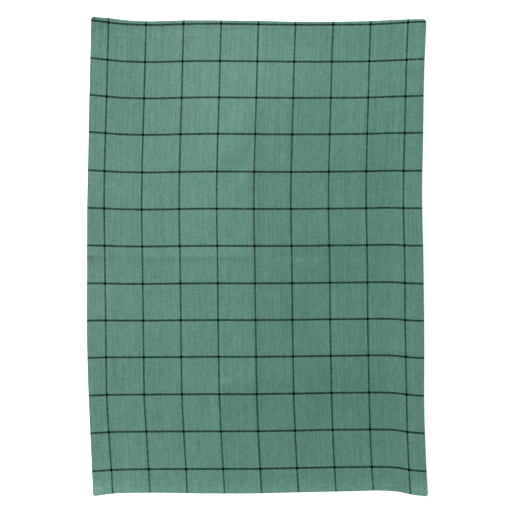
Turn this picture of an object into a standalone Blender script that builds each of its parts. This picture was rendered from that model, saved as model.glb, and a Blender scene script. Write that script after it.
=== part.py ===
"""Tea towel: one hemmed sheet of woven cotton, lying face up as it settles on a flat surface.

The face is up (+Z) and the length runs along Y. The origin is under the middle of the towel's box,
at the level that the underside touches. Sizes are in millimetres and go into the mesh in metres.
"""

from collections import namedtuple

import bpy
import numpy as np

MM = 0.001

# Finished size of the cloth, measured along it: the common 50 x 70 cm.
WIDTH = 500.0
LENGTH = 700.0

# The double-turned hem, from the edge inwards: the face's height and the underside's height.
# The cloth is folded to the back twice, so the edge is a round fold three layers thick, the sewn
# row draws the face down, and past the hem's inner fold the single layer sinks to the surface.
HemRow = namedtuple("HemRow", "inset face under")
HEM_SECTION = (
    HemRow(inset=0.0, face=1.4, under=0.7),
    HemRow(inset=1.3, face=2.1, under=0.0),
    HemRow(inset=6.0, face=2.3, under=0.0),
    HemRow(inset=11.0, face=2.1, under=0.0),
    HemRow(inset=13.0, face=1.9, under=0.0),
    HemRow(inset=14.5, face=2.0, under=1.0),
    HemRow(inset=24.0, face=1.6, under=0.6),
    HemRow(inset=36.0, face=1.3, under=0.2),
    HemRow(inset=50.0, face=1.1, under=0.0),
)
FIELD_THICKNESS = HEM_SECTION[-1].face
HEM_WIDTH = 14.0
CORNER_RADIUS = 5.0

# The outline: how far each edge stands out of the straight 500 x 700 rectangle, along its length,
# and how far it curls up off the surface there. The curl dies away within its reach of the edge.
EdgeRow = namedtuple("EdgeRow", "along out curl")
LEFT_EDGE = (
    EdgeRow(along=-350, out=-6.6, curl=0.6),
    EdgeRow(along=-310, out=-4.7, curl=0.3),
    EdgeRow(along=-250, out=-1.8, curl=0.3),
    EdgeRow(along=-190, out=0.8, curl=0.4),
    EdgeRow(along=-130, out=2.5, curl=0.4),
    EdgeRow(along=-10, out=2.5, curl=0.7),
    EdgeRow(along=75, out=2.3, curl=0.7),
    EdgeRow(along=135, out=1.1, curl=0.5),
    EdgeRow(along=255, out=-1.3, curl=0.7),
    EdgeRow(along=350, out=-3.9, curl=1.2),
)
RIGHT_EDGE = (
    EdgeRow(along=-350, out=3.2, curl=2.0),
    EdgeRow(along=-310, out=1.1, curl=2.0),
    EdgeRow(along=-220, out=-2.2, curl=2.0),
    EdgeRow(along=-130, out=-2.3, curl=2.6),
    EdgeRow(along=-15, out=-3.3, curl=2.4),
    EdgeRow(along=100, out=-5.3, curl=1.6),
    EdgeRow(along=165, out=-3.9, curl=0.4),
    EdgeRow(along=285, out=-1.6, curl=0.2),
    EdgeRow(along=350, out=1.2, curl=0.4),
)
BOTTOM_EDGE = (
    EdgeRow(along=-250, out=4.9, curl=4.0),
    EdgeRow(along=-220, out=1.3, curl=2.6),
    EdgeRow(along=-175, out=0.2, curl=2.2),
    EdgeRow(along=-85, out=1.2, curl=1.7),
    EdgeRow(along=-20, out=1.1, curl=1.7),
    EdgeRow(along=50, out=-0.4, curl=2.1),
    EdgeRow(along=135, out=-2.1, curl=2.0),
    EdgeRow(along=182, out=-3.0, curl=1.8),
    EdgeRow(along=205, out=-1.4, curl=2.0),
    EdgeRow(along=227, out=2.7, curl=2.6),
    EdgeRow(along=250, out=5.0, curl=4.0),
)
TOP_EDGE = (
    EdgeRow(along=-250, out=5.9, curl=2.8),
    EdgeRow(along=-220, out=3.7, curl=1.6),
    EdgeRow(along=-197, out=0.9, curl=1.3),
    EdgeRow(along=-175, out=-0.4, curl=1.2),
    EdgeRow(along=-108, out=0.8, curl=1.2),
    EdgeRow(along=-20, out=0.3, curl=1.1),
    EdgeRow(along=70, out=-1.2, curl=0.8),
    EdgeRow(along=160, out=-0.1, curl=0.1),
    EdgeRow(along=225, out=2.5, curl=0.1),
    EdgeRow(along=250, out=2.7, curl=0.4),
)
LEFT_CURL_REACH = 22.0
RIGHT_CURL_REACH = 62.0
BOTTOM_CURL_REACH = 21.0
TOP_CURL_REACH = 24.0

# Creases left by folding in four. Each is a ridge along a line, whose height changes along it, and
# it falls to nothing within one reach on its low side (left or bottom) and another on its high side.
CreaseRow = namedtuple("CreaseRow", "along height")
LENGTHWISE_CREASE = (
    CreaseRow(along=-350, height=0.9),
    CreaseRow(along=-270, height=2.2),
    CreaseRow(along=-120, height=2.9),
    CreaseRow(along=40, height=2.8),
    CreaseRow(along=150, height=2.0),
    CreaseRow(along=220, height=0.4),
    CreaseRow(along=260, height=0.0),
    CreaseRow(along=350, height=0.0),
)
LENGTHWISE_FALL = (
    CreaseRow(along=-350, height=0.6),
    CreaseRow(along=-300, height=0.7),
    CreaseRow(along=-215, height=0.5),
    CreaseRow(along=-160, height=0.7),
    CreaseRow(along=-110, height=0.3),
    CreaseRow(along=-60, height=0.4),
    CreaseRow(along=-28, height=0.7),
    CreaseRow(along=30, height=0.7),
    CreaseRow(along=85, height=0.9),
    CreaseRow(along=120, height=0.4),
    CreaseRow(along=180, height=0.9),
    CreaseRow(along=205, height=0.2),
    CreaseRow(along=230, height=0.0),
    CreaseRow(along=350, height=0.0),
)
LEFT_CROSS_CREASE = (
    CreaseRow(along=-250, height=1.5),
    CreaseRow(along=-236, height=0.9),
    CreaseRow(along=-150, height=0.7),
    CreaseRow(along=-50, height=0.8),
    CreaseRow(along=-8, height=0.5),
    CreaseRow(along=10, height=0.0),
    CreaseRow(along=250, height=0.0),
)
RIGHT_CROSS_CREASE = (
    CreaseRow(along=-250, height=0.0),
    CreaseRow(along=50, height=0.0),
    CreaseRow(along=110, height=0.5),
    CreaseRow(along=170, height=0.5),
    CreaseRow(along=250, height=0.2),
)
Crease = namedtuple("Crease", "lengthwise line crest low_reach high_reach")
CREASES = (
    Crease(lengthwise=True, line=0, crest=LENGTHWISE_CREASE, low_reach=110, high_reach=110),
    Crease(lengthwise=True, line=0, crest=LENGTHWISE_FALL, low_reach=55, high_reach=11),
    Crease(lengthwise=False, line=0, crest=LEFT_CROSS_CREASE, low_reach=10, high_reach=24),
    Crease(lengthwise=False, line=14, crest=RIGHT_CROSS_CREASE, low_reach=30, high_reach=60),
)
CREST_POWER = 1.5

# Short soft wrinkles, each a low ridge from one end to the other.
Wrinkle = namedtuple("Wrinkle", "x y end_x end_y height half_width")
WRINKLES = (
    Wrinkle(x=-62, y=118, end_x=-6, end_y=222, height=0.9, half_width=28),
    Wrinkle(x=-34, y=84, end_x=6, end_y=142, height=0.7, half_width=18),
    Wrinkle(x=-57, y=-168, end_x=-55, end_y=-372, height=0.8, half_width=13),
)

# Low swells where the cloth stands off the surface.
Swell = namedtuple("Swell", "x y half_width half_length height")
SWELLS = (
    Swell(x=30, y=255, half_width=125, half_length=110, height=2.6),
    Swell(x=-35, y=165, half_width=80, half_length=75, height=1.0),
    Swell(x=95, y=-150, half_width=90, half_length=85, height=1.4),
    Swell(x=160, y=110, half_width=55, half_length=95, height=0.8),
    Swell(x=-150, y=-215, half_width=75, half_length=60, height=0.7),
)

# Spacing of the sheet's grid between the hems, and lines close to each crease.
FIELD_STEP = 18.0
CREASE_LINES = (4.0, 10.0, 22.0)

COTTON_GREEN = (0.119, 0.250, 0.195, 1.0)
COTTON_ROUGHNESS = 0.9
SMOOTH_ANGLE = 40.0


def clear_scene():
    """Removes the objects that the file opened with."""
    for obj in list(bpy.data.objects):
        bpy.data.objects.remove(obj)


def column(rows, name):
    """One named column of a table as an array."""
    return np.array([getattr(row, name) for row in rows], dtype=float)


def smooth_curve(at, rows, value):
    """A cubic through a table's rows, with each row's slope taken from its neighbours."""
    x, y = column(rows, "along"), column(rows, value)
    slope = np.gradient(y, x)
    i = np.clip(np.searchsorted(x, at, side="right") - 1, 0, len(x) - 2)
    gap = x[i + 1] - x[i]
    t = (at - x[i]) / gap
    start = (1 + 2 * t) * (1 - t) ** 2 * y[i] + t * (1 - t) ** 2 * gap * slope[i]
    end = t**2 * (3 - 2 * t) * y[i + 1] - t**2 * (1 - t) * gap * slope[i + 1]
    return start + end


def grid_lines(size):
    """Stations across one size: the hem's rows at both ends, the middle crease, an even field."""
    hem = column(HEM_SECTION, "inset")
    crease = np.array(CREASE_LINES)
    start, stop = hem[-1], size / 2 - crease[-1]
    steps = int(np.ceil((stop - start) / FIELD_STEP))
    field = np.linspace(start, stop, steps + 1)[1:]
    half = np.concatenate([hem, field, size / 2 - crease[-2::-1]])
    return np.concatenate([half, [size / 2], size - half[::-1]])


def round_corners(across, down):
    """Draws the square corners of the cloth in to a radius: each square corner zone is pressed
    towards its inner corner, by the ratio of a square's reach to a circle's."""
    out_x = np.clip(np.abs(across) - (WIDTH / 2 - CORNER_RADIUS), 0, None)
    out_y = np.clip(np.abs(down) - (LENGTH / 2 - CORNER_RADIUS), 0, None)
    far = np.hypot(out_x, out_y)
    keep = np.where(far > 0, np.maximum(out_x, out_y) / np.where(far > 0, far, 1), 1)
    return (
        across - np.sign(across) * out_x * (1 - keep),
        down - np.sign(down) * out_y * (1 - keep),
    )


def in_outline(across, down):
    """Where each point of the flat rectangle lies in the towel's own outline: the four edges'
    drifts are carried into the field in proportion."""
    share_right = across / WIDTH + 0.5
    share_top = down / LENGTH + 0.5
    left = -smooth_curve(down, LEFT_EDGE, "out")
    right = smooth_curve(down, RIGHT_EDGE, "out")
    bottom = -smooth_curve(across, BOTTOM_EDGE, "out")
    top = smooth_curve(across, TOP_EDGE, "out")
    x = across + left * (1 - share_right) + right * share_right
    y = down + bottom * (1 - share_top) + top * share_top
    return x, y


def crease_height(crease, across, down):
    """A crease's own height: sharp along its crest, falling to nothing at its reach."""
    run, off = (down, across) if crease.lengthwise else (across, down)
    off = off - crease.line
    reach = np.where(off < 0, crease.low_reach, crease.high_reach)
    fall = np.clip(1 - np.abs(off) / reach, 0, 1) ** CREST_POWER
    return smooth_curve(run, crease.crest, "height") * fall


def wrinkle_height(wrinkle, across, down):
    """A wrinkle's own height: soft across, and even along its length until close to its ends."""
    half = np.array([wrinkle.end_x - wrinkle.x, wrinkle.end_y - wrinkle.y]) / 2
    reach = np.hypot(*half)
    ahead = half / reach
    dx, dy = across - wrinkle.x - half[0], down - wrinkle.y - half[1]
    along = (dx * ahead[0] + dy * ahead[1]) / reach
    off = (dx * ahead[1] - dy * ahead[0]) / wrinkle.half_width
    return wrinkle.height * np.clip(1 - off**2, 0, 1) ** 2 * np.clip(1 - along**4, 0, 1) ** 2


def curl_height(across, down):
    """How far the edges curl up, most at the edge itself."""
    high = 0
    for edge, reach, run, inset in (
        (LEFT_EDGE, LEFT_CURL_REACH, down, WIDTH / 2 + across),
        (RIGHT_EDGE, RIGHT_CURL_REACH, down, WIDTH / 2 - across),
        (BOTTOM_EDGE, BOTTOM_CURL_REACH, across, LENGTH / 2 + down),
        (TOP_EDGE, TOP_CURL_REACH, across, LENGTH / 2 - down),
    ):
        high = high + smooth_curve(run, edge, "curl") * np.clip(1 - inset / reach, 0, 1) ** 2
    return high


def lift(across, down):
    """How far the cloth stands off the surface. It is nothing wherever the towel lies flat."""
    high = curl_height(across, down)
    high = high + sum(crease_height(crease, across, down) for crease in CREASES)
    high = high + sum(wrinkle_height(wrinkle, across, down) for wrinkle in WRINKLES)
    for swell in SWELLS:
        far = np.hypot((across - swell.x) / swell.half_width, (down - swell.y) / swell.half_length)
        high = high + swell.height * np.cos(np.clip(far, 0, 1) * np.pi / 2) ** 2
    return np.clip(high, 0, None)


def hem_heights(across, down):
    """The face's and the underside's height over the surface that the cloth lies on. Where two
    hems cross, their extra layers add up as two sides of a right triangle do."""
    inset_x, inset_y = WIDTH / 2 - np.abs(across), LENGTH / 2 - np.abs(down)
    nearest = np.minimum(inset_x, inset_y)
    inset, face, under = (column(HEM_SECTION, name) for name in HemRow._fields)
    extra_x, extra_y = (np.interp(i, inset, face) - FIELD_THICKNESS for i in (inset_x, inset_y))
    sunk_x, sunk_y, sunk = (np.interp(i, inset, under) for i in (inset_x, inset_y, nearest))
    face_height = FIELD_THICKNESS + np.hypot(extra_x, extra_y)
    under_height = np.where(nearest < HEM_WIDTH, sunk, np.maximum(sunk_x, sunk_y))
    return face_height, under_height


def sheet_points():
    """The sheet's face and underside as two grids of points, rows along the width."""
    across, down = np.meshgrid(grid_lines(WIDTH) - WIDTH / 2, grid_lines(LENGTH) - LENGTH / 2)
    face, under = hem_heights(across, down)
    off = lift(across, down)
    x, y = in_outline(*round_corners(across, down))
    x, y = x - (x.min() + x.max()) / 2, y - (y.min() + y.max()) / 2
    return np.stack([x, y, face + off], axis=-1), np.stack([x, y, under + off], axis=-1)


def closed_faces(rows, columns):
    """Triangles of the face grid, of the underside grid below it, and of the rim that joins them."""
    index = np.arange(rows * columns).reshape(rows, columns)
    a, b, c, d = index[:-1, :-1], index[:-1, 1:], index[1:, 1:], index[1:, :-1]
    face = np.concatenate([np.stack(t, -1).reshape(-1, 3) for t in ((a, b, c), (a, c, d))])
    under = face[:, ::-1] + index.size
    edge = np.concatenate([index[0], index[1:, -1], index[-1, -2::-1], index[-2:0:-1, 0]])
    after = np.roll(edge, -1)
    rim = np.concatenate(
        [
            np.stack([edge + index.size, after + index.size, after], -1),
            np.stack([edge + index.size, after, edge], -1),
        ]
    )
    return np.concatenate([face, under, rim])


def cotton():
    """Dyed cotton: matt, with no shine."""
    material = bpy.data.materials.new("cotton")
    material.use_nodes = True
    shader = material.node_tree.nodes["Principled BSDF"]
    shader.inputs["Base Color"].default_value = COTTON_GREEN
    shader.inputs["Roughness"].default_value = COTTON_ROUGHNESS
    shader.inputs["Metallic"].default_value = 0.0
    return material


def make_towel():
    """The towel, hems and all, as one closed sheet."""
    face, under = sheet_points()
    rows, columns = face.shape[:2]
    points = np.concatenate([face.reshape(-1, 3), under.reshape(-1, 3)]) * MM
    mesh = bpy.data.meshes.new("towel")
    mesh.from_pydata(points.tolist(), [], closed_faces(rows, columns).tolist())
    mesh.validate()
    mesh.shade_smooth()
    mesh.set_sharp_from_angle(angle=np.radians(SMOOTH_ANGLE))
    mesh.materials.append(cotton())
    towel = bpy.data.objects.new("towel", mesh)
    bpy.context.scene.collection.objects.link(towel)
    return towel


clear_scene()
make_towel()
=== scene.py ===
"""Tea towel: a hemmed sheet of checked cotton lying face up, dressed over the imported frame.

All sizes are in millimetres, in the frame's axes: +X across the towel, +Y along it, +Z up out of its
face. They go into the meshes in metres. A place on the cloth itself is given as (across, along),
measured on the flat cloth from the towel's middle.
"""

from __future__ import annotations

import logging
from dataclasses import dataclass
from enum import Enum
from typing import Any, NamedTuple

import bpy
import numpy as np
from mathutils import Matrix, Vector


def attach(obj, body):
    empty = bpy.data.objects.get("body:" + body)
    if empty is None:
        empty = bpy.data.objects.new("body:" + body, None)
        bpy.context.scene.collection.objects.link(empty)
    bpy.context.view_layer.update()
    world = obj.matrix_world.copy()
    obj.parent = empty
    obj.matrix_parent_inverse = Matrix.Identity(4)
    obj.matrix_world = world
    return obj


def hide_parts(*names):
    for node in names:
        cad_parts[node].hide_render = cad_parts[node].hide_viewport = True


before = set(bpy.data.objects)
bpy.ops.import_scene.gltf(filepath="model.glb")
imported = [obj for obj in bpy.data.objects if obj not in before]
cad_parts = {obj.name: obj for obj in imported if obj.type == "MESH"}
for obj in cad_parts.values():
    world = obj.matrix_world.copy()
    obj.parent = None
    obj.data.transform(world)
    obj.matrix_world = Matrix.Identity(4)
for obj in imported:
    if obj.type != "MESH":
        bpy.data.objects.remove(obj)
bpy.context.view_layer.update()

MM = 0.001
LOG = logging.getLogger("tea_towel")
Array = np.ndarray
Colour = tuple[float, float, float]


# ---------------------------------------------------------------- how the cloth lies


class Face(Enum):
    """The two sides of the cloth."""

    UP = 1
    UNDER = -1


class Run(Enum):
    """Which way a crease runs."""

    LENGTHWISE = "lengthwise"
    CROSSWISE = "crosswise"


class EdgeRow(NamedTuple):
    """One place on an edge: how far it stands out of the straight rectangle, and how far it curls up."""

    along: float
    out: float
    curl: float


class Edge(NamedTuple):
    """One edge of the cloth: its places, how far in from it the curl reaches, and which wave its
    puckers follow."""

    rows: tuple[EdgeRow, ...]
    curl_reach: float
    pucker_seed: int


class CreaseRow(NamedTuple):
    """One place on a crease: the height of its crest there, and how far it lies off its line."""

    along: float
    height: float
    aside: float = 0.0


class DriftRow(NamedTuple):
    """One place along a set of threads: how far they have drifted there on the cloth's low side (left
    or bottom) and on its high side (right or top)."""

    along: float
    low: float
    high: float


class SpacingRow(NamedTuple):
    """One place across a set of threads: how far they are out of even spacing there."""

    across: float
    drift: float


class HemRow(NamedTuple):
    """One line of the hem's section: the face's and the underside's height there."""

    inset: float
    face: float
    under: float


class Crease(NamedTuple):
    """A folding crease: the line it lies on, its crest's heights, and how far it reaches to the low
    side (left or bottom) and to the high side (right or top)."""

    run: Run
    line: float
    crest: tuple[CreaseRow, ...]
    low_reach: float
    high_reach: float


class Wrinkle(NamedTuple):
    """A short soft ridge, from one end to the other."""

    x: float
    y: float
    end_x: float
    end_y: float
    height: float
    half_width: float


class Swell(NamedTuple):
    """A low round rise of the cloth."""

    x: float
    y: float
    half_width: float
    half_length: float
    height: float


class ToneAndPaintedLightPatch(NamedTuple):
    """A soft patch where the cloth's colour changes: how much paler and how much warmer it is in its
    middle, or deeper and cooler if below nought. The broad ones make wide areas paler or deeper; those on
    the curled hems and corners and beside the low cross crease are painted light and shade."""

    x: float
    y: float
    half_width: float
    half_length: float
    paleness: float
    warmth: float = 0.0


# The edges, each from its bottom or left end.
LEFT_ROWS = (
    EdgeRow(-350, -6.6, 0.6),
    EdgeRow(-310, -4.7, 0.3),
    EdgeRow(-250, -1.8, 0.3),
    EdgeRow(-190, 0.8, 0.4),
    EdgeRow(-130, 2.5, 0.4),
    EdgeRow(-10, 2.5, 0.7),
    EdgeRow(75, 2.3, 0.7),
    EdgeRow(135, 1.1, 0.5),
    EdgeRow(255, -1.3, 0.7),
    EdgeRow(350, -3.9, 1.2),
)
RIGHT_ROWS = (
    EdgeRow(-350, 3.2, 2.0),
    EdgeRow(-310, 1.1, 2.0),
    EdgeRow(-220, -2.2, 2.0),
    EdgeRow(-130, -2.3, 2.6),
    EdgeRow(-15, -3.3, 2.4),
    EdgeRow(100, -5.3, 1.6),
    EdgeRow(165, -3.9, 0.4),
    EdgeRow(285, -1.6, 0.2),
    EdgeRow(350, 1.2, 0.4),
)
BOTTOM_ROWS = (
    EdgeRow(-250, 4.9, 4.8),
    EdgeRow(-220, 1.3, 3.5),
    EdgeRow(-175, 0.2, 2.8),
    EdgeRow(-85, 1.2, 2.2),
    EdgeRow(-20, 1.1, 2.2),
    EdgeRow(50, -0.4, 2.7),
    EdgeRow(135, -2.1, 2.6),
    EdgeRow(182, -3.0, 2.3),
    EdgeRow(205, -1.4, 2.4),
    EdgeRow(227, 2.7, 3.0),
    EdgeRow(250, 5.0, 4.3),
)
TOP_ROWS = (
    EdgeRow(-250, 5.9, 2.8),
    EdgeRow(-220, 3.7, 1.5),
    EdgeRow(-197, 0.9, 1.2),
    EdgeRow(-175, -0.4, 1.1),
    EdgeRow(-108, 0.8, 1.0),
    EdgeRow(-20, 0.3, 0.8),
    EdgeRow(70, -1.2, 0.3),
    EdgeRow(160, -0.1, 0.0),
    EdgeRow(225, 2.5, 0.0),
    EdgeRow(250, 2.7, 0.3),
)
LEFT_EDGE = Edge(LEFT_ROWS, curl_reach=22.0, pucker_seed=4)
RIGHT_EDGE = Edge(RIGHT_ROWS, curl_reach=62.0, pucker_seed=5)
BOTTOM_EDGE = Edge(BOTTOM_ROWS, curl_reach=21.0, pucker_seed=8)
TOP_EDGE = Edge(TOP_ROWS, curl_reach=21.0, pucker_seed=9)
# How the check's threads lie in the cloth.
WARP_DRIFT = (
    DriftRow(-350, 2.8, 1.0),
    DriftRow(-270, 1.4, 0.9),
    DriftRow(-205, 0.2, 1.3),
    DriftRow(-150, 1.2, 0.0),
    DriftRow(-95, 1.4, -0.9),
    DriftRow(-30, 0.2, -0.6),
    DriftRow(30, -0.8, -0.5),
    DriftRow(135, -1.9, -0.6),
    DriftRow(190, -1.5, -0.4),
    DriftRow(240, -0.9, 0.3),
    DriftRow(350, -0.9, 0.0),
)
WARP_SPACING = (
    SpacingRow(-250, 0.0),
    SpacingRow(-168, 0.1),
    SpacingRow(-112, 0.4),
    SpacingRow(-56, 0.5),
    SpacingRow(0, 0.3),
    SpacingRow(56, -0.4),
    SpacingRow(112, 0.1),
    SpacingRow(167, 0.3),
    SpacingRow(250, 0.0),
)
WEFT_DRIFT = (
    DriftRow(-250, 0.1, 0.1),
    DriftRow(-220, -1.1, -1.3),
    DriftRow(-185, -1.0, -0.4),
    DriftRow(-130, -0.3, -0.6),
    DriftRow(-60, 0.7, 0.1),
    DriftRow(0, 0.7, -0.1),
    DriftRow(60, 0.3, 0.4),
    DriftRow(120, 0.3, 0.4),
    DriftRow(180, -0.6, -0.2),
    DriftRow(215, 0.2, 0.1),
    DriftRow(250, 0.6, 1.6),
)
WEFT_SPACING = (
    SpacingRow(-315, 0.0),
    SpacingRow(-260, 0.8),
    SpacingRow(-205, 0.9),
    SpacingRow(-150, 1.3),
    SpacingRow(-95, 0.8),
    SpacingRow(-40, 0.3),
    SpacingRow(15, 0.9),
    SpacingRow(125, 1.0),
    SpacingRow(180, 1.9),
    SpacingRow(235, 1.1),
    SpacingRow(290, 0.1),
    SpacingRow(345, 0.0),
)
# The folding creases, each from its bottom or left end, and the smaller forms.
LENGTHWISE_CREASE = (
    CreaseRow(-350, 0.9),
    CreaseRow(-270, 2.2),
    CreaseRow(-120, 2.9),
    CreaseRow(40, 2.8),
    CreaseRow(150, 2.0),
    CreaseRow(220, 0.4),
    CreaseRow(260, 0.0),
    CreaseRow(350, 0.0),
)
LENGTHWISE_FALL = (
    CreaseRow(-350, 0.6),
    CreaseRow(-300, 0.7),
    CreaseRow(-215, 0.5),
    CreaseRow(-160, 0.7),
    CreaseRow(-110, 0.3, 2.0),
    CreaseRow(-60, 0.3, 3.0),
    CreaseRow(-28, 0.6, 2.5),
    CreaseRow(0, 0.8, 2.0),
    CreaseRow(40, 1.2, 2.0),
    CreaseRow(85, 1.2, 2.5),
    CreaseRow(115, 0.5, 2.0),
    CreaseRow(165, 0.5),
    CreaseRow(190, 0.2),
    CreaseRow(230, 0.0),
    CreaseRow(350, 0.0),
)
LENGTHWISE_LIP = (
    CreaseRow(-350, 0.0),
    CreaseRow(190, 0.0),
    CreaseRow(215, 0.2),
    CreaseRow(350, 0.2),
)
LEFT_CROSS_CREASE = (
    CreaseRow(-250, 1.5),
    CreaseRow(-236, 0.9),
    CreaseRow(-150, 0.7),
    CreaseRow(-50, 0.8),
    CreaseRow(-8, 0.5),
    CreaseRow(10, 0.0),
    CreaseRow(250, 0.0),
)
TOP_CROSS_CREASE = (
    CreaseRow(-250, 0.0),
    CreaseRow(-165, 0.1),
    CreaseRow(-110, 0.45),
    CreaseRow(-30, 0.45),
    CreaseRow(10, 0.25),
    CreaseRow(50, 0.0),
    CreaseRow(250, 0.0),
)
LOW_CROSS_CREASE = (
    CreaseRow(-250, 0.0),
    CreaseRow(-76, 0.0),
    CreaseRow(-68, 0.0),
    CreaseRow(-60, 0.5),
    CreaseRow(-38, 0.8),
    CreaseRow(-33, 0.4),
    CreaseRow(-26, 0.0, 3.0),
    CreaseRow(-22, 0.1, 7.0),
    CreaseRow(-17, 0.5, 9.0),
    CreaseRow(-6, 0.8, 9.0),
    CreaseRow(-1, 0.3, 9.0),
    CreaseRow(5, 0.0, 9.0),
    CreaseRow(12, 0.0, 9.0),
    CreaseRow(250, 0.0, 9.0),
)
RIGHT_CROSS_CREASE = (
    CreaseRow(-250, 0.0),
    CreaseRow(50, 0.0),
    CreaseRow(100, 0.6),
    CreaseRow(180, 0.65),
    CreaseRow(250, 0.3),
)
CREASES = (
    Crease(Run.LENGTHWISE, 0.0, LENGTHWISE_CREASE, 110.0, 110.0),
    Crease(Run.LENGTHWISE, 0.0, LENGTHWISE_FALL, 55.0, 11.0),
    Crease(Run.LENGTHWISE, -1.0, LENGTHWISE_LIP, 5.0, 50.0),
    Crease(Run.CROSSWISE, 0.0, LEFT_CROSS_CREASE, 10.0, 24.0),
    Crease(Run.CROSSWISE, 14.0, RIGHT_CROSS_CREASE, 30.0, 60.0),
    Crease(Run.CROSSWISE, 327.0, TOP_CROSS_CREASE, 60.0, 11.0),
    Crease(Run.CROSSWISE, -188.0, LOW_CROSS_CREASE, 60.0, 9.0),
)
WRINKLES = (
    Wrinkle(-62, 118, -6, 222, 0.9, 28),
    Wrinkle(-34, 84, 6, 142, 0.7, 18),
    Wrinkle(-57, -168, -55, -372, 1.0, 13),
    Wrinkle(45, 262, 48, 20, 0.6, 10),
    Wrinkle(-213, -10, -215, -118, 0.5, 11),
    Wrinkle(-213, -136, -213, -196, 0.7, 10),
    Wrinkle(30, -141, 270, -141, 0.5, 11),
)
SWELLS = (
    Swell(30, 255, 125, 110, 2.6),
    Swell(-35, 165, 80, 75, 1.0),
    Swell(95, -150, 90, 85, 1.4),
    Swell(160, 110, 55, 95, 0.8),
    Swell(-150, -215, 75, 60, 0.7),
    Swell(-10, 8, 22, 34, 0.6),
)
# The cloth's tone: broad paler and deeper patches, then painted light and shade on the curled hems and
# corners, then the warmer left and top.
TONE_AND_PAINTED_LIGHT_PATCHES = (
    ToneAndPaintedLightPatch(-45, 255, 130, 130, 0.105),
    ToneAndPaintedLightPatch(100, 255, 150, 90, 0.06),
    ToneAndPaintedLightPatch(-210, 270, 120, 180, -0.12),
    ToneAndPaintedLightPatch(-85, 70, 90, 210, 0.08),
    ToneAndPaintedLightPatch(150, 135, 140, 80, -0.08),
    ToneAndPaintedLightPatch(108, -10, 120, 70, -0.07),
    ToneAndPaintedLightPatch(66, -115, 60, 90, -0.08),
    ToneAndPaintedLightPatch(75, -210, 190, 60, -0.06),
    ToneAndPaintedLightPatch(-20, -220, 55, 60, -0.07),
    ToneAndPaintedLightPatch(-165, -176, 55, 70, -0.07),
    ToneAndPaintedLightPatch(-32, -280, 34, 100, -0.05),
    # Painted light: two small pale spots beside the low cross crease.
    ToneAndPaintedLightPatch(-48, -184, 20, 11, 0.12),
    ToneAndPaintedLightPatch(-9, -174, 13, 14, 0.07),
    ToneAndPaintedLightPatch(-222, -65, 45, 90, 0.07),
    ToneAndPaintedLightPatch(-228, -255, 60, 60, -0.06),
    ToneAndPaintedLightPatch(190, -320, 110, 70, 0.07),
    # Painted light and shade: the curled hems and corners, paler where they face the light and deeper at
    # the top left.
    ToneAndPaintedLightPatch(165, 352, 150, 24, 0.09),
    ToneAndPaintedLightPatch(0, -354, 300, 26, 0.09),
    ToneAndPaintedLightPatch(-222, -345, 70, 32, 0.07),
    ToneAndPaintedLightPatch(254, -230, 24, 200, 0.09),
    ToneAndPaintedLightPatch(-238, 330, 50, 45, -0.06),
    ToneAndPaintedLightPatch(-242, -340, 17, 9, 0.3, 0.35),
    ToneAndPaintedLightPatch(238, -337, 22, 18, 0.22, 0.2),
    ToneAndPaintedLightPatch(-262, 0, 230, 900, 0.0, 0.27),
    ToneAndPaintedLightPatch(-262, 0, 45, 900, 0.0, 0.14),
    ToneAndPaintedLightPatch(-90, 320, 260, 210, 0.0, 0.34),
)
# The hem from its folded edge inwards, and the cloth's slope down beside it.
HEM_SECTION = (
    HemRow(0.0, 2.18, 0.0),
    HemRow(6.0, 2.28, 0.0),
    HemRow(11.0, 2.22, 0.0),
    HemRow(13.6, 2.14, 0.0),
    HemRow(14.4, 2.1, 1.0),
    HemRow(24.0, 1.75, 0.7),
    HemRow(36.0, 1.35, 0.33),
    HemRow(50.0, 1.05, 0.03),
    HemRow(60.0, 1.0, 0.0),
)


def column(rows: tuple[NamedTuple, ...], name: str) -> Array:
    """One named column of a table."""
    return np.array([getattr(row, name) for row in rows], dtype=float)


def smooth_curve(at: Array, rows: tuple[NamedTuple, ...], value: str, key: str = "along") -> Array:
    """A cubic through a table's rows: between two rows, with t from 0 to 1, it is the Hermite blend
    (1 + 2t)(1 - t)^2 a + t(1 - t)^2 m + t^2 (3 - 2t) b - t^2 (1 - t) n, where m and n are the rows'
    slopes, taken from their neighbours.

    Args:
        at: Where to read it.
        rows: The table.
        value: The column that it goes through.
        key: The column that holds each row's place.

    Returns:
        The curve's value at each place.
    """
    x, y = column(rows, key), column(rows, value)
    slope = np.gradient(y, x)
    i = np.clip(np.searchsorted(x, at, side="right") - 1, 0, len(x) - 2)
    gap = x[i + 1] - x[i]
    t = np.clip((at - x[i]) / gap, 0, 1)
    start = (1 + 2 * t) * (1 - t) ** 2 * y[i] + t * (1 - t) ** 2 * gap * slope[i]
    end = t**2 * (3 - 2 * t) * y[i + 1] - t**2 * (1 - t) * gap * slope[i + 1]
    return start + end


def round_bump(across: Array, along: Array, patch: Swell | ToneAndPaintedLightPatch) -> Array:
    """A patch's soft round bump: cos^2 of the distance from its middle, a quarter turn at its rim."""
    far = np.hypot((across - patch.x) / patch.half_width, (along - patch.y) / patch.half_length)
    return np.cos(np.clip(far, 0, 1) * np.pi / 2) ** 2


def ripple(along: Array, seed: int, shortest: float, longest: float) -> Array:
    """A soft uneven wave: the sum of eight sines whose lengths lie between the shortest and the
    longest, at even steps of their logarithm, each with its own phase, divided so that the whole
    mostly stays within -1 and 1.

    Args:
        along: Where to read it.
        seed: Which wave.
        shortest: Least wave length.
        longest: Greatest wave length.

    Returns:
        The wave's height at each place.
    """
    waves = 8
    phases = np.random.default_rng(seed).uniform(0, 2 * np.pi, waves)
    lengths = np.geomspace(shortest, longest, waves)
    turns = along[..., None] * (2 * np.pi / lengths) + phases
    return np.sin(turns).sum(axis=-1) / np.sqrt(2 * waves)


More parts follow.
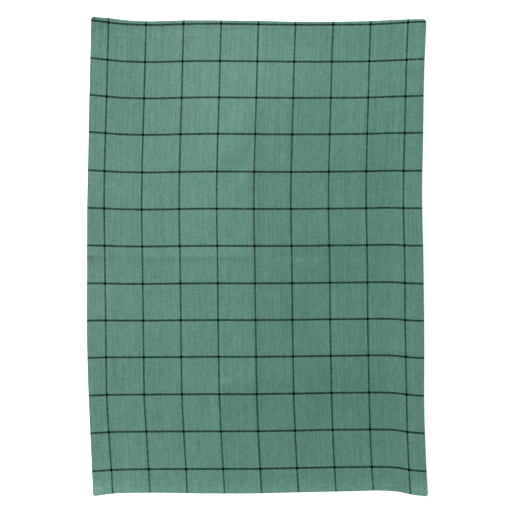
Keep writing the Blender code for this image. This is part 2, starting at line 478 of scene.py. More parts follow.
@dataclass(frozen=True)
class Lie:
    """How the towel lies: its size and outline, how far it stands off the surface, where its threads are,
    and where its tone changes, partly in painted light and shade. The solid follows a coarser form of the
    same tables."""

    width: float = 500.0
    length: float = 700.0
    corner_radius: float = 5.0
    crest_power: float = 1.5
    crest_round: float = 0.6

    def rounded(self, across: Array, along: Array) -> tuple[Array, Array]:
        """Draws the square corners in to the corner radius. Each corner zone is pressed towards its
        inner corner by the ratio of a square's reach to a circle's, max(a, b) / hypot(a, b).

        Args:
            across: Places across the cloth.
            along: Places along it.

        Returns:
            The same places, drawn in.
        """
        a = np.clip(np.abs(across) - (self.width / 2 - self.corner_radius), 0, None)
        b = np.clip(np.abs(along) - (self.length / 2 - self.corner_radius), 0, None)
        far = np.hypot(a, b)
        keep = np.where(far > 0, np.maximum(a, b) / np.where(far > 0, far, 1), 1)
        return (
            across - np.sign(across) * a * (1 - keep),
            along - np.sign(along) * b * (1 - keep),
        )

    def plan(self, across: Array, along: Array) -> tuple[Array, Array]:
        """Where the cloth lies, seen from above. A point keeps its own place and adds the drift of
        the two edges on either side of it, shared out by how near it is to each.

        Args:
            across: Places across the cloth.
            along: Places along it.

        Returns:
            x and y.
        """
        right_share = across / self.width + 0.5
        top_share = along / self.length + 0.5
        left = -smooth_curve(along, LEFT_ROWS, "out")
        right = smooth_curve(along, RIGHT_ROWS, "out")
        bottom = -smooth_curve(across, BOTTOM_ROWS, "out")
        top = smooth_curve(across, TOP_ROWS, "out")
        x = across + left * (1 - right_share) + right * right_share
        y = along + bottom * (1 - top_share) + top * top_share
        return x, y

    def crease_height(self, crease: Crease, across: Array, along: Array) -> Array:
        """A crease's lift: its crest's height times (1 - d / reach) ^ power, where d is the distance
        from its line, rounded near nought as hypot(d, r) - r.

        Args:
            crease: The crease.
            across: Places across the cloth.
            along: Places along it.

        Returns:
            Its height at each place.
        """
        run, off = (along, across) if crease.run is Run.LENGTHWISE else (across, along)
        off = off - crease.line - smooth_curve(run, crease.crest, "aside")
        reach = np.where(off < 0, crease.low_reach, crease.high_reach)
        bent = np.hypot(off, self.crest_round) - self.crest_round
        crest = smooth_curve(run, crease.crest, "height")
        return crest * np.clip(1 - bent / reach, 0, 1) ** self.crest_power

    def wrinkle_height(self, wrinkle: Wrinkle, across: Array, along: Array) -> Array:
        """A wrinkle's lift: its height times (1 - (d / half width)^2)^2, with d from its line, times
        (1 - t^4)^2, with t from -1 to 1 between its ends.

        Args:
            wrinkle: The wrinkle.
            across: Places across the cloth.
            along: Places along it.

        Returns:
            Its height at each place.
        """
        half = np.array([wrinkle.end_x - wrinkle.x, wrinkle.end_y - wrinkle.y]) / 2
        reach = np.hypot(*half)
        ahead = half / reach
        dx, dy = across - wrinkle.x - half[0], along - wrinkle.y - half[1]
        t = (dx * ahead[0] + dy * ahead[1]) / reach
        off = (dx * ahead[1] - dy * ahead[0]) / wrinkle.half_width
        return wrinkle.height * np.clip(1 - off**2, 0, 1) ** 2 * np.clip(1 - t**4, 0, 1) ** 2

    def insets(self, across: Array, along: Array) -> tuple[tuple[Edge, Array, Array], ...]:
        """How far in from each edge the cloth's places lie.

        Args:
            across: Places across the cloth.
            along: Places along it.

        Returns:
            For each edge: the edge, the places along it and how far in from it they are.
        """
        return (
            (LEFT_EDGE, along, across + self.width / 2),
            (RIGHT_EDGE, along, self.width / 2 - across),
            (BOTTOM_EDGE, across, along + self.length / 2),
            (TOP_EDGE, across, self.length / 2 - along),
        )

    def curl_height(self, across: Array, along: Array) -> Array:
        """How far the edges curl up: each edge's curl times (1 - inset / reach)^2.

        Args:
            across: Places across the cloth.
            along: Places along it.

        Returns:
            The height at each place.
        """
        high = np.zeros_like(across)
        for edge, run, inset in self.insets(across, along):
            share = np.clip(1 - inset / edge.curl_reach, 0, 1)
            high = high + smooth_curve(run, edge.rows, "curl") * share**2
        return high

    def lift(self, across: Array, along: Array) -> Array:
        """How far the cloth stands off the surface: the sum of its curled edges, creases, wrinkles
        and swells, and never below nought.

        Args:
            across: Places across the cloth.
            along: Places along it.

        Returns:
            The height of its underside.
        """
        high = self.curl_height(across, along)
        high = high + sum(self.crease_height(crease, across, along) for crease in CREASES)
        high = high + sum(self.wrinkle_height(wrinkle, across, along) for wrinkle in WRINKLES)
        for swell in SWELLS:
            high = high + swell.height * round_bump(across, along, swell)
        return np.clip(high, 0, None)

    def tone_and_painted_light(self, across: Array, along: Array, name: str) -> Array:
        """How the tone varies, painted light and shade among it: the sum of each patch's value times its
        bump.

        Args:
            across: Places across the cloth.
            along: Places along it.
            name: Which of the patches' columns.

        Returns:
            That value at each place.
        """
        total = np.zeros_like(across)
        for patch in TONE_AND_PAINTED_LIGHT_PATCHES:
            total = total + getattr(patch, name) * round_bump(across, along, patch)
        return total

    def weave(self, across: Array, along: Array) -> tuple[Array, Array]:
        """The place in the weave, counted as if the threads ran straight and evenly, of a place on
        the cloth: the threads' drift is taken off, shared out between the two sides, and so is their
        uneven spacing.

        Args:
            across: Places across the cloth.
            along: Places along it.

        Returns:
            The place across the weave and along it, from the cloth's lower left corner.
        """
        right_share = across / self.width + 0.5
        top_share = along / self.length + 0.5
        left, right = (smooth_curve(along, WARP_DRIFT, side) for side in ("low", "high"))
        bottom, top = (smooth_curve(across, WEFT_DRIFT, side) for side in ("low", "high"))
        u = across - left * (1 - right_share) - right * right_share
        v = along - bottom * (1 - top_share) - top * top_share
        u = u - smooth_curve(across, WARP_SPACING, "drift", "across")
        v = v - smooth_curve(along, WEFT_SPACING, "drift", "across")
        return u + self.width / 2, v + self.length / 2


# ---------------------------------------------------------------- meshes


def link_mesh(name: str, points: Array, faces: Array, corner_uv: Array) -> bpy.types.Object:
    """A smooth-shaded object made from arrays.

    Args:
        name: The piece's name.
        points: Its points, in millimetres.
        faces: Four point numbers for each face.
        corner_uv: For each face, the UV of its four corners, in metres of cloth.

    Returns:
        The object, linked into the scene.
    """
    mesh = bpy.data.meshes.new(name)
    mesh.vertices.add(len(points))
    mesh.vertices.foreach_set("co", (points * MM).astype(np.float32).ravel())
    mesh.loops.add(faces.size)
    mesh.loops.foreach_set("vertex_index", faces.astype(np.int32).ravel())
    mesh.polygons.add(len(faces))
    mesh.polygons.foreach_set("loop_start", np.arange(0, faces.size, 4, dtype=np.int32))
    mesh.update(calc_edges=True)
    layer = mesh.uv_layers.new(name="cloth")
    layer.data.foreach_set("uv", corner_uv.astype(np.float32).ravel())
    mesh.validate()
    mesh.shade_smooth()
    piece = bpy.data.objects.new(name, mesh)
    bpy.context.scene.collection.objects.link(piece)
    return piece


def dress_piece(piece: bpy.types.Object, material: bpy.types.Material) -> None:
    """Gives a piece its finish, its body and its material slot, and reports it.

    Args:
        piece: The piece.
        material: Its finish.
    """
    piece.data.materials.append(material)
    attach(piece, "root")
    LOG.info("%s: %d faces", piece.name, len(piece.data.polygons))


def quads(rows: int, columns: int) -> Array:
    """The faces of a grid of points, wound to face up when columns run along +X and rows along +Y.

    Args:
        rows: Points along the length.
        columns: Points along the width.

    Returns:
        Four point numbers for each face.
    """
    index = np.arange(rows * columns).reshape(rows, columns)
    corners = [index[:-1, :-1], index[:-1, 1:], index[1:, 1:], index[1:, :-1]]
    return np.stack(corners, -1).reshape(-1, 4)


@dataclass
class CheckedTowel:
    """The towel itself: one closed sheet with its double-turned hems.

    The sewn row's sizes are its distance from the edge, how deep and how wide it draws the face down,
    and how many times that depth it draws the underside up. The steps space the grid's lines.
    """

    lie: Lie
    finish: CheckedCotton
    fold_radius: float = 1.1
    hem_width: float = 14.0
    field_height: float = 1.0
    sewn_inset: float = 12.3
    sewn_depth: float = 0.12
    sewn_spread: float = 0.9
    under_draw: float = 2.4
    pucker_height: float = 0.16
    pucker_reach: float = 8.0
    pucker_shortest: float = 7.0
    pucker_longest: float = 46.0
    rim_steps: int = 4
    hem_step: float = 1.0
    hem_step_before: float = 0.35
    hem_step_after: float = 0.4
    least_gap: float = 0.3
    slope_step: float = 2.2
    field_step: tuple[float, float] = (3.4, 3.7)
    crease_lines: tuple[float, ...] = (0.7, 1.5, 2.5, 4.0, 6.0, 8.5)

    def stations(self, size: float, step: float) -> Array:
        """Where the grid's lines cross one size of the cloth: close at the folded edge, the hem and
        the middle crease, and wider over the field. The hem's inner edge has a line just before it
        and one just after it, so that its step on the underside is a steep one.

        Args:
            size: The cloth's size that way.
            step: The field's spacing.

        Returns:
            The lines' places, from the cloth's middle.
        """
        angle = np.linspace(0, np.pi / 2, self.rim_steps + 1)
        rim = self.fold_radius * (1 - np.cos(angle))
        slope_end, crease = HEM_SECTION[-2].inset, np.array(self.crease_lines)
        before = self.hem_width - self.hem_step_before
        after = self.hem_width + self.hem_step_after
        hem = np.arange(rim[-1] + self.hem_step, self.hem_width, self.hem_step)
        hem = np.concatenate([hem[hem < before - self.least_gap], [before, after]])
        slope = np.arange(after + self.slope_step / 2, slope_end, self.slope_step)
        field_end = size / 2 - crease[-1]
        count = int(np.ceil((field_end - slope_end) / step))
        middle = np.linspace(slope_end, field_end, count + 1)
        half = np.concatenate([rim, hem, slope, middle, size / 2 - crease[-2::-1]]) - size / 2
        return np.concatenate([half, [0.0], -half[::-1]])

    def heights(self, across: Array, along: Array, side: Face) -> Array:
        """The height of one side of the cloth over the level that it lies on.

        Over the hem it follows the hem's section. Where two hems cross, their extra layers on the
        face add up as two sides of a right triangle do, and underneath the end hem's flap covers the
        side hem's. Both sides draw together along the sewn rows. The face follows their puckers, and
        the underside does where they rise. At the folded edge both sides close in on the fold's
        middle as a quarter circle does.

        Args:
            across: Places across the cloth.
            along: Places along it.
            side: Which side.

        Returns:
            Its height at each place.
        """
        insets = (self.lie.width / 2 - np.abs(across), self.lie.length / 2 - np.abs(along))
        inset_x, inset_y = insets
        over_hem = np.minimum(inset_x, inset_y) < self.hem_width
        face_x, face_y = (smooth_curve(i, HEM_SECTION, "face", "inset") for i in insets)
        lines, levels = column(HEM_SECTION, "inset"), column(HEM_SECTION, "under")
        under_x, under_y = (np.interp(i, lines, levels) for i in insets)
        drawn = self.sewn_depth * sum(self.nearness(i, self.sewn_spread) for i in insets)
        pucker = self.pucker(across, along)
        face = self.field_height + np.hypot(face_x - self.field_height, face_y - self.field_height)
        face = face - drawn + pucker
        flap = np.where(inset_y < self.hem_width, 0, under_y)
        under = np.where(over_hem, flap, np.maximum(under_x, under_y))
        under = under + np.clip(pucker, 0, None) + np.where(over_hem, self.under_draw * drawn, 0)
        close_x, close_y = (np.sqrt(1 - (1 - np.clip(i / self.fold_radius, 0, 1)) ** 2) for i in insets)
        middle = (face + under) / 2
        own = face if side is Face.UP else under
        return middle + (own - middle) * close_x * close_y

    def nearness(self, inset: Array, reach: float) -> Array:
        """How near a place is to the sewn row: exp(-(d / reach)^2), with d its distance from the row."""
        return np.exp(-(((inset - self.sewn_inset) / reach) ** 2))

    def pucker(self, across: Array, along: Array) -> Array:
        """The sewn rows' gathers: an uneven wave that runs along each hem, times its nearness.

        Args:
            across: Places across the cloth.
            along: Places along it.

        Returns:
            The height to add.
        """
        total = np.zeros_like(across)
        for edge, run, inset in self.lie.insets(across, along):
            wave = ripple(run, edge.pucker_seed, self.pucker_shortest, self.pucker_longest)
            total = total + wave * self.nearness(inset, self.pucker_reach)
        return self.pucker_height * total

    def grid(self) -> tuple[Array, Array]:
        """The grid's lines as two arrays of places, across and along the cloth."""
        sizes = (self.lie.width, self.lie.length)
        return np.meshgrid(*(self.stations(size, step) for size, step in zip(sizes, self.field_step)))

    def points(self, across: Array, along: Array, side: Face) -> Array:
        """One side's points: its plan, its height and the cloth's lift.

        Args:
            across: Places across the cloth.
            along: Places along it.
            side: Which side.

        Returns:
            x, y and z.
        """
        x, y = self.lie.plan(*self.lie.rounded(across, along))
        z = self.heights(across, along, side) + self.lie.lift(across, along)
        return np.stack([x, y, z], -1)

    def weave_places(self, across: Array, along: Array, faces: Array, side: Face) -> Array:
        """Each face corner's place in the weave, in metres from the towel's lower left corner. On the
        hem's flap underneath, the cloth has turned back over the edge, so its place is mirrored in
        that edge.

        Args:
            across: Places across the cloth.
            along: Places along it.
            faces: Four point numbers for each face.
            side: Which side.

        Returns:
            The UV of each face's four corners.
        """
        places = np.stack([part.ravel() for part in self.lie.weave(across, along)], -1)
        corners = places[faces]
        if side is Face.UNDER:
            size = np.array([self.lie.width, self.lie.length])
            middle = corners.mean(axis=1, keepdims=True)
            corners = np.where(middle < self.hem_width, -corners, corners)
            corners = np.where(middle > size - self.hem_width, 2 * size - corners, corners)
        return corners * MM

    def build(self) -> bpy.types.Object:
        """Both sides as grids that share the points of the folded edge, centred on the outline, with the
        tone's changes, painted light and shade among them, as values at the points.

        Returns:
            The towel.
        """
        across, along = self.grid()
        rows, columns = across.shape
        up = self.points(across, along, Face.UP).reshape(-1, 3)
        under = self.points(across, along, Face.UNDER).reshape(-1, 3)
        inner = np.zeros((rows, columns), bool)
        inner[1:-1, 1:-1] = True
        inner = inner.ravel()
        number = np.where(inner, np.cumsum(inner) - 1 + rows * columns, np.arange(rows * columns))
        faces = quads(rows, columns)
        under_faces = faces[:, ::-1]
        centre = (up[~inner].max(axis=0) + up[~inner].min(axis=0)) / 2
        points = np.concatenate([up, under[inner]]) - [centre[0], centre[1], 0]
        up_uv = self.weave_places(across, along, faces, Face.UP)
        under_uv = self.weave_places(across, along, under_faces, Face.UNDER)
        all_faces = np.concatenate([faces, number[under_faces]])
        towel = link_mesh("checked_towel", points, all_faces, np.concatenate([up_uv, under_uv]))
        for name in ("paleness", "warmth"):
            value = self.lie.tone_and_painted_light(across, along, name).ravel()
            layer = towel.data.attributes.new(name, "FLOAT", "POINT")
            layer.data.foreach_set("value", np.concatenate([value, value[inner]]).astype(np.float32))
        return towel

    def dress(self, towel: bpy.types.Object) -> None:
        """Gives the towel its woven finish."""
        dress_piece(towel, self.finish.make())


@dataclass
class HemStitching:
    """The sewing thread of the hems: one row along each, seen on both sides as short stitches.

    A stitch is shown over a share of its pitch. Its middle rises out of the cloth and its ends sink
    in, by shares of the thread's width. Each of its rings has six points, and the end rings are
    closed by two quads each.
    """

    towel: CheckedTowel
    finish: SewingThread
    stitch: float = 3.0
    shown: float = 0.8
    thread: float = 0.36
    blunt: float = 0.04
    rise: float = 0.5
    sink: float = 0.35
    end_gap: float = 2.0
    rings: int = 6
    sides: int = 6
    first_caps: tuple[tuple[int, ...], ...] = ((0, 3, 2, 1), (0, 5, 4, 3))
    last_caps: tuple[tuple[int, ...], ...] = ((0, 1, 2, 3), (0, 3, 4, 5))

    def row(self, start: tuple[float, float], end: tuple[float, float], side: Face) -> Array:
        """The rings of every stitch in one row.

        Ring k lies at share f = k / (rings - 1) of its stitch, its radius is half the thread's width
        times sqrt(sin(pi f)), and its middle rises out of the cloth as sin(pi f) does. For both, the
        end rings take f a little inside the ends, so that they stay blunt.

        Args:
            start: Where the row starts on the cloth.
            end: Where it ends.
            side: Which side of the cloth it is on.

        Returns:
            Points by stitch, ring and side.
        """
        run = np.array(end) - np.array(start)
        reach = np.hypot(*run)
        count = int(reach / self.stitch)
        share = np.linspace(0, 1, self.rings)
        at = (np.arange(count)[:, None] + 0.5 + (share - 0.5) * self.shown) * self.stitch
        place = np.array(start) + at[..., None] * run / reach
        centre = self.towel.points(place[..., 0], place[..., 1], side)
        ahead = np.gradient(centre, axis=1)
        ahead /= np.linalg.norm(ahead, axis=-1, keepdims=True)
        up = np.array([0.0, 0.0, float(side.value)])
        beside = np.cross(up, ahead)
        beside /= np.linalg.norm(beside, axis=-1, keepdims=True)
        swell = np.sin(np.pi * np.clip(share, self.blunt, 1 - self.blunt))
        centre = centre + up * (self.thread * (self.rise * swell - self.sink))[:, None]
        angle = np.arange(self.sides) * 2 * np.pi / self.sides
        radius = (self.thread / 2 * np.sqrt(swell))[:, None, None]
        ring = np.cos(angle)[:, None] * beside[:, :, None, :] + np.sin(angle)[:, None] * up
        return centre[:, :, None, :] + radius * ring

    def faces(self, stitches: int) -> Array:
        """The faces of every stitch: its wall, from ring to ring, and the caps of its two ends.

        Args:
            stitches: How many stitches there are.

        Returns:
            Four point numbers for each face.
        """
        index = np.arange(stitches * self.rings * self.sides).reshape(stitches, self.rings, self.sides)
        beyond = np.roll(index, -1, axis=2)
        wall = np.stack([index[:, :-1], beyond[:, :-1], beyond[:, 1:], index[:, 1:]], -1)
        caps = [index[:, 0, list(cap)] for cap in self.first_caps]
        caps += [index[:, -1, list(cap)] for cap in self.last_caps]
        return np.concatenate([wall.reshape(-1, 4), *caps])

    def build(self) -> bpy.types.Object:
        """All rows on both sides as one mesh. Its UV is the share round the thread and the place
        along the stitch.

        Returns:
            The stitching.
        """
        lie, inset = self.towel.lie, self.towel.sewn_inset
        far_x, far_y = lie.width / 2 - self.end_gap, lie.length / 2 - self.end_gap
        row_x, row_y = lie.width / 2 - inset, lie.length / 2 - inset
        lines = [((x, -far_y), (x, far_y)) for x in (-row_x, row_x)]
        lines += [((-far_x, y), (far_x, y)) for y in (-row_y, row_y)]
        points = np.concatenate([self.row(*line, side) for side in Face for line in lines])
        faces = self.faces(len(points))
        spot = np.stack(np.meshgrid(np.arange(self.sides) / self.sides, np.arange(self.rings)), -1)
        spot = spot.reshape(-1, 2) * [1.0, self.stitch * self.shown / self.rings]
        places = np.tile(spot, (len(points), 1))
        return link_mesh("hem_stitching", points.reshape(-1, 3), faces, places[faces] * MM)

    def dress(self, stitching: bpy.types.Object) -> None:
        """Gives the stitching its thread's finish."""
        dress_piece(stitching, self.finish.make())


# ---------------------------------------------------------------- finishes

MIDDLE = 0.5  # of a shader value that runs from 0 to 1
OCTAVE_SHARE = 0.55  # how strong each finer octave of a noise is against the one before
OPAQUE = 1.0
MIX_SHARE, MIX_FIRST, MIX_SECOND = 0, 6, 7  # the Mix node's inputs for colours
MIXED = 2  # its output for them


def paint(srgb: Array | Colour, exposure: float) -> tuple[float, ...]:
    """The linear light of a colour's screen values, ((c / 255 + 0.055) / 1.055) ^ 2.4, as exposed."""
    return (*(((np.array(srgb) / 255 + 0.055) / 1.055) ** 2.4 * exposure), OPAQUE)


class Noise(NamedTuple):
    """A smooth unevenness of the cloth: the size of its cells, how many finer octaves it has, which
    noise it is, and how strongly it acts on the colour and on the height."""

    across: float
    along: float
    octaves: float
    layer: float
    tone: float
    relief: float = 0.0


class Value:
    """A shader socket that takes part in Python expressions. Each operator adds a Math node."""

    def __init__(self, shader: Shader, socket: bpy.types.NodeSocket) -> None:
        """Keeps the socket and the shader that it belongs to."""
        self.shader, self.socket = shader, socket

    def maths(self, operation: str, *values: Value | float) -> Value:
        """A Math node of that operation on these values."""
        made = self.shader.node("ShaderNodeMath", {"operation": operation}, dict(enumerate(values)))
        return Value(self.shader, made.outputs[0])

    def __add__(self, other: Value | float) -> Value:
        """self + other."""
        return self.maths("ADD", self, other)

    def __sub__(self, other: Value | float) -> Value:
        """self - other."""
        return self.maths("SUBTRACT", self, other)

    def __rsub__(self, other: Value | float) -> Value:
        """other - self."""
        return self.maths("SUBTRACT", other, self)

    def __mul__(self, other: Value | float) -> Value:
        """self * other."""
        return self.maths("MULTIPLY", self, other)

    def __truediv__(self, other: Value | float) -> Value:
        """self / other."""
        return self.maths("DIVIDE", self, other)

    def __lt__(self, other: Value | float) -> Value:
        """1 where self is less than other."""
        return self.maths("LESS_THAN", self, other)

    def __gt__(self, other: Value | float) -> Value:
        """1 where self is more than other."""
        return self.maths("GREATER_THAN", self, other)

    def __abs__(self) -> Value:
        """The size of self, without its sign."""
        return self.maths("ABSOLUTE", self)

    __radd__ = __add__
    __rmul__ = __mul__

    def sine(self) -> Value:
        """The sine of self."""
        return self.maths("SINE", self)

    def root(self) -> Value:
        """The square root of self."""
        return self.maths("SQRT", self)

    def most(self, other: Value | float) -> Value:
        """The greater of self and other."""
        return self.maths("MAXIMUM", self, other)

    def to_nearest(self) -> Value:
        """How far self is from the nearest whole number."""
        return self.maths("PINGPONG", self, 0.5)


class Shader:
    """A material under construction, with its Principled shader."""

    def __init__(self, name: str) -> None:
        """Starts an empty material.

        Args:
            name: Its name.
        """
        self.material = bpy.data.materials.new(name)
        self.material.use_nodes = True
        self.tree = self.material.node_tree
        self.surface = self.tree.nodes["Principled BSDF"]

    def node(self, kind: str, settings: dict[str, Any], inputs: dict[Any, Any]) -> bpy.types.Node:
        """Adds a node.

        Args:
            kind: Its type.
            settings: Its properties, set first.
            inputs: Its sockets' values or links, by name or number.

        Returns:
            The node.
        """
        made = self.tree.nodes.new(kind)
        for name, value in settings.items():
            setattr(made, name, value)
        for key, value in inputs.items():
            self.feed(made.inputs[key], value)
        return made

    def feed(self, socket: bpy.types.NodeSocket, value: Any) -> None:
        """Links a value into a socket, or sets the socket to a plain one.

        Args:
            socket: The socket.
            value: What it gets.
        """
        if isinstance(value, Value):
            self.tree.links.new(value.socket, socket)
        else:
            socket.default_value = value

    def weave_place(self) -> tuple[Value, Value]:
        """The place in the cloth, from the piece's UV map.

        Returns:
            The place across and along, in millimetres.
        """
        place = self.node("ShaderNodeUVMap", {"uv_map": "cloth"}, {})
        parts = self.node("ShaderNodeSeparateXYZ", {}, {0: Value(self, place.outputs[0])})
        return Value(self, parts.outputs[0]) / MM, Value(self, parts.outputs[1]) / MM

    def attribute(self, name: str) -> Value:
        """The piece's own value of that name at each place."""
        return Value(self, self.node("ShaderNodeAttribute", {"attribute_name": name}, {}).outputs["Fac"])

    def noise(self, kind: Noise, across: Value, along: Value) -> Value:
        """A smooth noise, counted from its middle.

        Args:
            kind: Which noise.
            across: Place across the cloth, in millimetres.
            along: Place along it.

        Returns:
            The noise, from about -0.5 to 0.5.
        """
        cells = {0: across / kind.across, 1: along / kind.along, 2: kind.layer}
        place = Value(self, self.node("ShaderNodeCombineXYZ", {}, cells).outputs[0])
        made = self.node(
            "ShaderNodeTexNoise",
            {"noise_dimensions": "3D"},
            {"Vector": place, "Scale": 1.0, "Detail": kind.octaves, "Roughness": OCTAVE_SHARE},
        )
        return Value(self, made.outputs[0]) - MIDDLE

    def mix(self, share: Any, first: Any, second: Any) -> Value:
        """Two colours mixed: the second's share is given."""
        inputs = {MIX_SHARE: share, MIX_FIRST: first, MIX_SECOND: second}
        return Value(self, self.node("ShaderNodeMix", {"data_type": "RGBA"}, inputs).outputs[MIXED])

    def bump(self, height: Value, depth: float) -> Value:
        """A normal from a height in units of depth, in millimetres."""
        made = self.node("ShaderNodeBump", {}, {"Strength": 1.0, "Distance": depth * MM, "Height": height})
        return Value(self, made.outputs[0])

    def set(self, **inputs: Any) -> None:
        """Sets or links the Principled shader's sockets, whose names have _ for each space."""
        for key, value in inputs.items():
            self.feed(self.surface.inputs[key.replace("_", " ")], value)


@dataclass(frozen=True)
class YarnSet:
    """The yarns that run one way: the check's repeat, how many yarns are in it, where its first dark
    line lies, and how many yarns of the line are dark."""

    repeat: float
    yarns: int
    first_line: float
    dark_yarns: int

    def wave(self, place: Value) -> Value:
        """A sine that changes its sign from yarn to yarn."""
        return (place / (self.repeat / self.yarns) * np.pi).sine()

    def off_line(self, place: Value) -> Value:
        """How many yarns a place is off the middle of the nearest dark line."""
        return ((place - self.first_line) / self.repeat).to_nearest() * self.yarns


@dataclass(frozen=True)
class CheckedCotton:
    """Plain-woven cotton: green yarn both ways, with a thin dark check of a few dark yarns.

    The yarns' noises are, in order, streaks along the warp, the slubs of the warp and of the weft,
    the fine grain and broader patches. Those of the hue are close, middling and broad. Where a green
    yarn lies over a dark one, the line's shade is how much the dark one darkens it, and the meeting's
    is how much more where two lines meet.
    """

    warp: YarnSet = YarnSet(55.71, 110, 26.95, 5)
    weft: YarnSet = YarnSet(54.91, 110, 35.5, 6)
    on_top: float = 0.1
    yarn_noises: tuple[Noise, ...] = (
        Noise(1.6, 120.0, 0.0, 3.7, 0.43, 1.2),
        Noise(1.45, 21.0, 1.0, 0.0, 0.58, 0.9),
        Noise(12.0, 1.6, 1.0, 8.1, 0.42, 0.7),
        Noise(1.25, 1.45, 1.0, 5.3, 1.22, 0.9),
        Noise(11.0, 15.0, 2.0, 9.9, 0.26),
    )
    hue_noises: tuple[Noise, ...] = (
        Noise(3.2, 4.16, 1.0, 3.2, 1.25),
        Noise(10.0, 13.0, 1.0, 10.0, 1.2),
        Noise(29.0, 37.7, 1.0, 29.0, 0.3),
    )
    blue_noise: Noise = Noise(7.1, 9.23, 1.0, 7.1, 0.4)
    line_noise: Noise = Noise(2.6, 2.6, 1.0, 2.2, 1.5)
    light_green: Colour = (121, 163.3, 146)
    deep_green: Colour = (73, 116.3, 98)
    warmth: Colour = (4.0, -3.0, -1.5)
    blue: Colour = (92, 140, 150)
    dark: Colour = (5, 12, 9)
    exposure: float = 0.803
    blue_share: float = 0.06
    mean_roundness: float = 0.64
    # painted light on the floats' crowns and painted shade in the gaps between yarns
    painted_crown_light: float = 0.3
    line_shade: float = 0.5
    meeting_shade: float = 0.45
    meeting_spread: float = 1.5
    roughness: float = 0.86
    pale_polish: float = 0.1
    gloss: float = 0.04
    weave_depth: float = 0.09

    def tone(self, srgb: Colour, warmth: float = 0.0) -> tuple[float, ...]:
        """A yarn's colour as the shader takes it, shifted by so many times the yarns' warmth."""
        return paint(np.array(srgb) + np.array(self.warmth) * warmth, self.exposure)

    def green(self, shader: Shader, across: Value, along: Value, light: Value) -> Value:
        """The green yarn's colour: between deep and light, between its cooler and warmer tone, both partly
        painted light, and with a little blue in places.

        Args:
            shader: The material's shader.
            across: Place across the weave.
            along: Place along it.
            light: The light green's share.

        Returns:
            The colour.
        """
        warmth = MIDDLE + shader.attribute("warmth")
        for kind in self.hue_noises:
            warmth = warmth + shader.noise(kind, across, along) * kind.tone
        cool, warm = (
            shader.mix(light, self.tone(self.deep_green, shift), self.tone(self.light_green, shift))
            for shift in (-1, 1)
        )
        blue_share = self.blue_share + shader.noise(self.blue_noise, across, along) * self.blue_noise.tone
        return shader.mix(blue_share, shader.mix(warmth, cool, warm), self.tone(self.blue))

    def checked(self, shader: Shader, across: Value, along: Value, warp_up: Value, green: Value) -> Value:
        """The cloth's colour with its check: the dark yarns where they lie on top, and the green ones
        darker by an uneven share where a dark one lies under them.

        Args:
            shader: The material's shader.
            across: Place across the weave.
            along: Place along it.
            warp_up: 1 where the warp lies on top, 0 elsewhere.
            green: The green yarn's colour.

        Returns:
            The colour.
        """
        warp_off, weft_off = self.warp.off_line(across), self.weft.off_line(along)
        warp_half, weft_half = self.warp.dark_yarns / 2, self.weft.dark_yarns / 2
        dark_warp, dark_weft = warp_off < warp_half, weft_off < weft_half
        spread = self.meeting_spread
        meeting = (warp_off < warp_half + spread) * (weft_off < weft_half + spread)
        broken = shader.noise(self.line_noise, across, along) * self.line_noise.tone
        shade = self.line_shade + broken + meeting * self.meeting_shade
        shaded = shader.mix(dark_warp.most(dark_weft) * shade, green, self.tone(self.dark))
        on_top = warp_up * dark_warp + (1 - warp_up) * dark_weft
        return shader.mix(on_top, shaded, self.tone(self.dark))

    def make(self) -> bpy.types.Material:
        """The finish, read from the cloth's own UV map and the tone's values at its points, painted light
        and shade among them.

        Yarns: with a and b the places in yarns, sin(pi a) sin(pi b) is positive where the warp lies
        on top and negative where the weft does, and the root of its size is the floats' roundness.
        The warp shows where it is more than on_top.

        Returns:
            The material.
        """
        shader = Shader("checked_cotton")
        across, along = shader.weave_place()
        crossing = self.warp.wave(across) * self.weft.wave(along)
        roundness = abs(crossing).root()
        # The paleness carries the tone patches, with painted light and shade on the hems, corners and by
        # the low crease.
        light = MIDDLE + shader.attribute("paleness")
        height = roundness
        for kind in self.yarn_noises:
            uneven = shader.noise(kind, across, along)
            light = light + uneven * kind.tone
            height = height + uneven * kind.relief
        # Painted light on each float's crown and painted shade in the gaps between the yarns.
        light = light + (roundness - self.mean_roundness) * self.painted_crown_light
        green = self.green(shader, across, along, light)
        shader.set(
            Base_Color=self.checked(shader, across, along, crossing > self.on_top, green),
            Roughness=self.roughness - (light - MIDDLE) * self.pale_polish,
            Specular_IOR_Level=self.gloss,
            Normal=shader.bump(height, self.weave_depth),
        )
        return shader.material


@dataclass(frozen=True)
class SewingThread:
    """Green sewing thread: its twist shows as bands that wind round it, in painted light and painted shade
    in turn.
    """

    # The twist's lit and shaded bands are painted light and painted shade.
    light: Colour = (112, 152, 137)
    deep: Colour = (82, 122, 107)
    exposure: float = 0.86
    bands: int = 2
    band_length: float = 0.5
    roughness: float = 0.7
    light_polish: float = 0.15
    band_depth: float = 0.05

    def make(self) -> bpy.types.Material:
        """The finish: with a the share round the thread times its bands, and b the place along it in band
        lengths, sin(pi (a + b)) is positive on a painted lit band and negative on a painted shaded one.

        Returns:
            The material.
        """
        shader = Shader("sewing_thread")
        around, along = shader.weave_place()
        # The twist's bands: painted light where the band is positive, painted shade where negative.
        band = ((around * self.bands + along / self.band_length) * np.pi).sine()
        share = MIDDLE + band * MIDDLE
        shader.set(
            Base_Color=shader.mix(share, paint(self.deep, self.exposure), paint(self.light, self.exposure)),
            Roughness=self.roughness - share * self.light_polish,
            Normal=shader.bump(share, self.band_depth),
        )
        return shader.material


# ---------------------------------------------------------------- studio


class Softbox(NamedTuple):
    """A square soft light, aimed at the towel's middle. Its place and size are in metres."""

    name: str
    place: tuple[float, float, float]
    size: float
    power: float
    colour: Colour


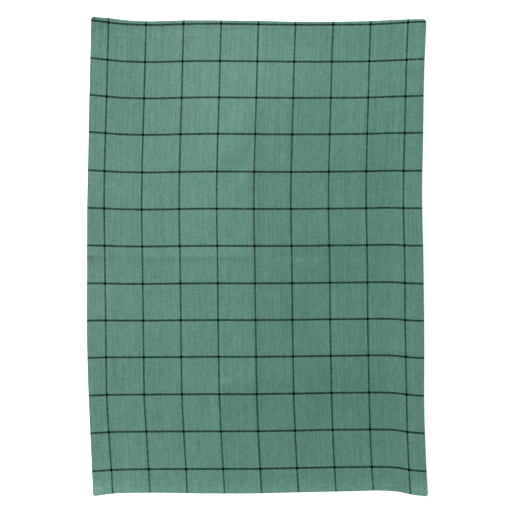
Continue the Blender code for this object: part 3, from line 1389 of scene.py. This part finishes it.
@dataclass
class Studio:
    """A plain pale floor, soft light from the upper left, and a camera straight above.

    The photograph is image pixels wide, the towel's middle falls at its middle column and row, and a
    pixel is scale millimetres on the floor. The floor's size is in metres.
    """

    scale: float = 1.485
    image: int = 512
    middle_column: float = 257.1
    middle_row: float = 256.25
    lens: float = 85.0
    sensor: float = 36.0
    floor_size: float = 24.0
    floor_drop: float = 0.4
    floor_grey: float = 0.92
    floor_roughness: float = 0.9
    floor_gloss: float = 0.1
    floor_glow: float = 0.78
    softboxes: tuple[Softbox, ...] = (
        Softbox("key", (-0.8, 2.1, 0.9), 0.9, 125.0, (1.0, 0.95, 0.95)),
        Softbox("fill", (-0.85, -1.0, 0.7), 0.6, 13.5, (1.0, 0.95, 0.95)),
    )
    ambient: float = 0.23
    ambient_colour: Colour = (0.7, 1.05, 1.04)

    def floor(self) -> bpy.types.Object:
        """A pale floor just under the towel.

        Returns:
            The floor.
        """
        half, low = self.floor_size / 2, -self.floor_drop * MM
        corners = [(-half, -half, low), (half, -half, low), (half, half, low), (-half, half, low)]
        mesh = bpy.data.meshes.new("floor")
        mesh.from_pydata(corners, [], [(0, 1, 2, 3)])
        floor = bpy.data.objects.new("floor", mesh)
        shader = Shader("pale_floor")
        shader.set(
            Base_Color=(self.floor_grey, self.floor_grey, self.floor_grey, OPAQUE),
            Roughness=self.floor_roughness,
            Specular_IOR_Level=self.floor_gloss,
            Emission_Color=(1.0, 1.0, 1.0, OPAQUE),
            Emission_Strength=self.floor_glow,
        )
        mesh.materials.append(shader.material)
        bpy.context.scene.collection.objects.link(floor)
        return floor

    def light(self) -> None:
        """The softboxes, aimed at the towel, and an even sky."""
        for box in self.softboxes:
            data = bpy.data.lights.new(box.name, "AREA")
            data.size, data.energy, data.color = box.size, box.power, box.colour
            lamp = bpy.data.objects.new(box.name, data)
            lamp.location = box.place
            lamp.rotation_euler = (-Vector(box.place)).to_track_quat("-Z", "Y").to_euler()
            bpy.context.scene.collection.objects.link(lamp)
        world = bpy.data.worlds.new("sky")
        world.use_nodes = True
        sky = world.node_tree.nodes["Background"]
        sky.inputs["Color"].default_value = (*self.ambient_colour, OPAQUE)
        sky.inputs["Strength"].default_value = self.ambient
        bpy.context.scene.world = world
        bpy.context.scene.view_settings.view_transform = "Standard"

    def camera(self) -> None:
        """A long lens over the towel, as far off as the photograph's scale asks, and moved so that
        the towel's middle falls where the photograph has it."""
        data = bpy.data.cameras.new("camera")
        data.lens, data.sensor_width = self.lens, self.sensor
        camera = bpy.data.objects.new("camera", data)
        pixel = self.scale * MM
        right = (self.image / 2 - self.middle_column) * pixel
        ahead = (self.middle_row - self.image / 2) * pixel
        camera.location = (right, ahead, self.image * pixel * self.lens / self.sensor)
        bpy.context.scene.collection.objects.link(camera)
        bpy.context.scene.camera = camera


def main() -> None:
    """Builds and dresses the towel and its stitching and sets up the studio."""
    logging.basicConfig(level=logging.INFO, format="%(name)s: %(message)s")
    cloth = CheckedTowel(Lie(), CheckedCotton())
    towel = cloth.build()
    cloth.dress(towel)
    sewing = HemStitching(cloth, SewingThread())
    stitching = sewing.build()
    sewing.dress(stitching)
    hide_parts("towel")
    studio = Studio()
    studio.floor()
    studio.light()
    studio.camera()


if __name__ == "__main__":
    main()
